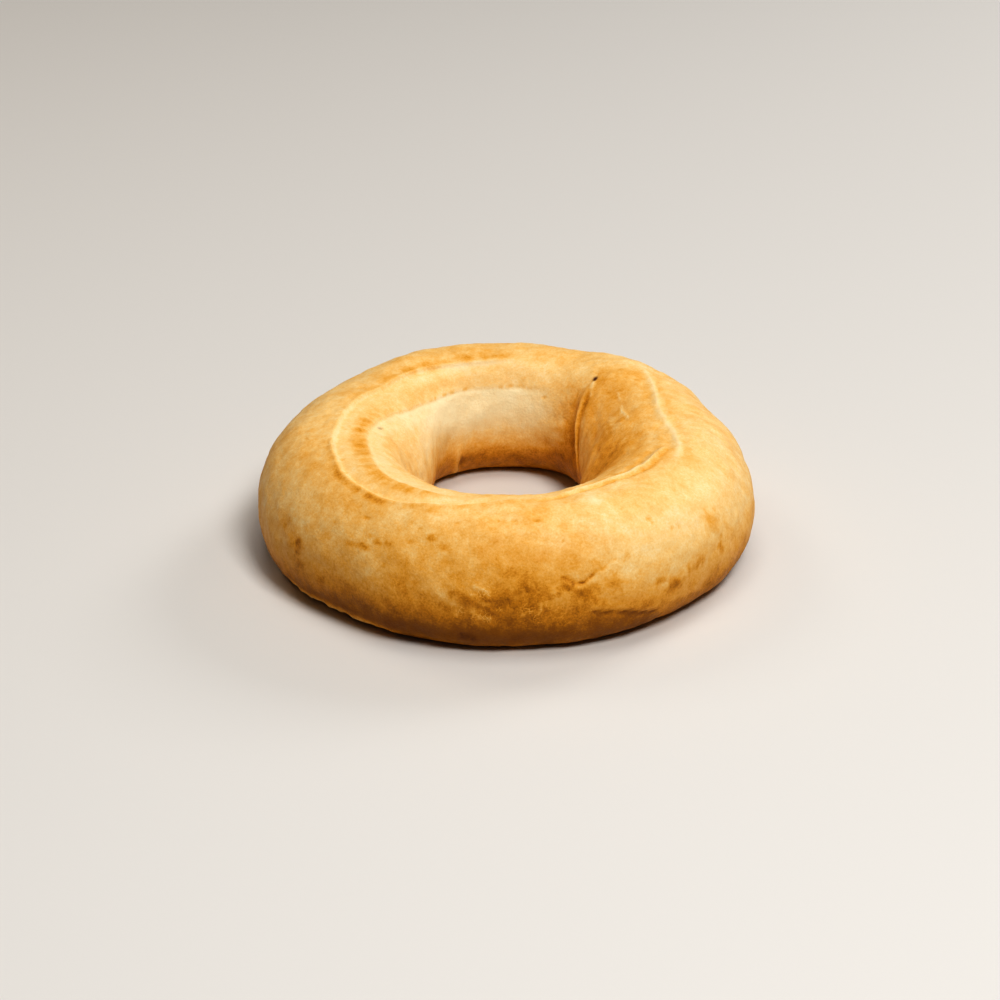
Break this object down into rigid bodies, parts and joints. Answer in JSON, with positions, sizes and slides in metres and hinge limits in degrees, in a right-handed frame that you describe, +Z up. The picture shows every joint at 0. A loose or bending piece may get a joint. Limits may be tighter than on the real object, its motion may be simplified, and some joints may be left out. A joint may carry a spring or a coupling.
{
  "type": "cheese bread ring",
  "caption": "Baked ring of cheese bread with a flat base, an oval hole, low rolled creases on the top and a seam on the hole wall.",
  "frame": {"origin": "centre of the ring's outline at the height of its flat base", "axes": "+Z up from the base, +Y along the ring's longest side towards its thinner part, -Y towards the thick front"},
  "size_m": [0.1192, 0.1278, 0.0319],
  "materials": {
    "crust": "baked crust, soft satin"
  },
  "bodies": {
    "root": {"bread_ring": "crust"}
  },
  "joints": []
}
